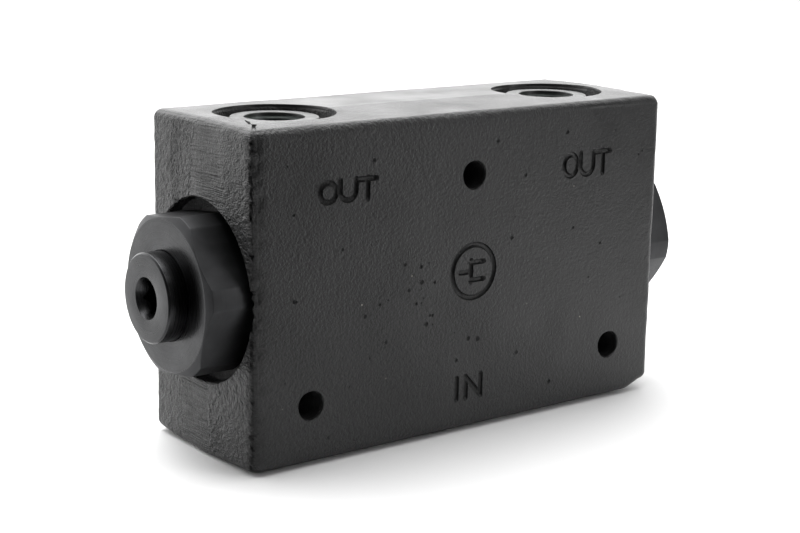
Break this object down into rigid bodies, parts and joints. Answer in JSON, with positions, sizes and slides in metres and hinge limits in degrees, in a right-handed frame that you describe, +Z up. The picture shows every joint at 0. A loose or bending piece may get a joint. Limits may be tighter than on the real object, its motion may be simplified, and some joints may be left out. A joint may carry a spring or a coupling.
{
  "type": "flow control valve",
  "caption": "Spool-type hydraulic flow divider: painted cast block, screwed hexagon end caps with adjuster screws, plugged inlet and outlet ports.",
  "frame": {"origin": "on the surface the valve stands on, under the middle of the block", "axes": "+X along the spool towards the right end cap, -Y out of the lettered front face, +Z up out of the two outlet ports"},
  "size_m": [0.162, 0.0472, 0.0839],
  "materials": {
    "black_paint": "satin black paint over sand-cast skin",
    "black_oxide": "satin black oxide over turned steel",
    "ground_steel": "ground",
    "spring_steel": "oiled wire",
    "brass": "turned",
    "rubber": "moulded nitrile",
    "seal_plastic": "natural",
    "plug_plastic": "soft polyethylene, slightly translucent"
  },
  "bodies": {
    "housing": {"valve_body": "black_paint", "left_end_cap": "black_oxide", "left_cap_o_ring": "rubber", "left_spring_shim": "ground_steel", "left_centring_spring": "spring_steel", "right_end_cap": "black_oxide", "right_cap_o_ring": "rubber", "right_spring_shim": "ground_steel", "right_centring_spring": "spring_steel"},
    "spool": {"spool": "ground_steel", "left_orifice_plate": "brass", "left_orifice_snap_ring": "spring_steel", "left_spring_seat": "ground_steel", "right_orifice_plate": "brass", "right_orifice_snap_ring": "spring_steel", "right_spring_seat": "ground_steel"},
    "left_adjuster_seals": {"left_adjuster_o_ring": "rubber", "left_adjuster_backup_ring": "seal_plastic"},
    "left_adjuster": {"left_adjuster_screw": "black_oxide", "left_adjuster_stop_ring": "spring_steel"},
    "left_out_plug": {"left_out_port_plug": "plug_plastic"},
    "right_adjuster_seals": {"right_adjuster_o_ring": "rubber", "right_adjuster_backup_ring": "seal_plastic"},
    "right_adjuster": {"right_adjuster_screw": "black_oxide", "right_adjuster_stop_ring": "spring_steel"},
    "right_out_plug": {"right_out_port_plug": "plug_plastic"},
    "in_plug": {"in_port_plug": "plug_plastic"}
  },
  "joints": [
    {"name": "spool_slide", "type": "slide", "parent": "housing", "child": "spool", "axis": [1, 0, 0], "range_m": [-0.003, 0.003], "stiffness_N_per_m": 4000, "deforming": ["left_centring_spring", "right_centring_spring"]},
    {"name": "left_adjuster_advance", "type": "slide", "parent": "housing", "child": "left_adjuster_seals", "axis": [1, 0, 0], "range_m": [-0.001, 0.002]},
    {"name": "left_adjuster_turn", "type": "hinge", "parent": "left_adjuster_seals", "child": "left_adjuster", "pos_m": [0, 0, 0.0416], "axis": [1, 0, 0], "range_deg": [-361, 721]},
    {"name": "right_adjuster_advance", "type": "slide", "parent": "housing", "child": "right_adjuster_seals", "axis": [-1, 0, 0], "range_m": [-0.001, 0.002]},
    {"name": "right_adjuster_turn", "type": "hinge", "parent": "right_adjuster_seals", "child": "right_adjuster", "pos_m": [0, 0, 0.0416], "axis": [-1, 0, 0], "range_deg": [-361, 721]},
    {"name": "left_out_plug_pull", "type": "slide", "parent": "housing", "child": "left_out_plug", "axis": [0, 0, 1], "range_m": [0, 0.02]},
    {"name": "right_out_plug_pull", "type": "slide", "parent": "housing", "child": "right_out_plug", "axis": [0, 0, 1], "range_m": [0, 0.02]},
    {"name": "in_plug_pull", "type": "slide", "parent": "housing", "child": "in_plug", "axis": [0, 0, -1], "range_m": [0, 0.02]}
  ],
  "couplings": [
    {"joint": "left_adjuster_turn", "follows": "left_adjuster_advance", "rad_per_m": 6283.2},
    {"joint": "right_adjuster_turn", "follows": "right_adjuster_advance", "rad_per_m": 6283.2}
  ]
}
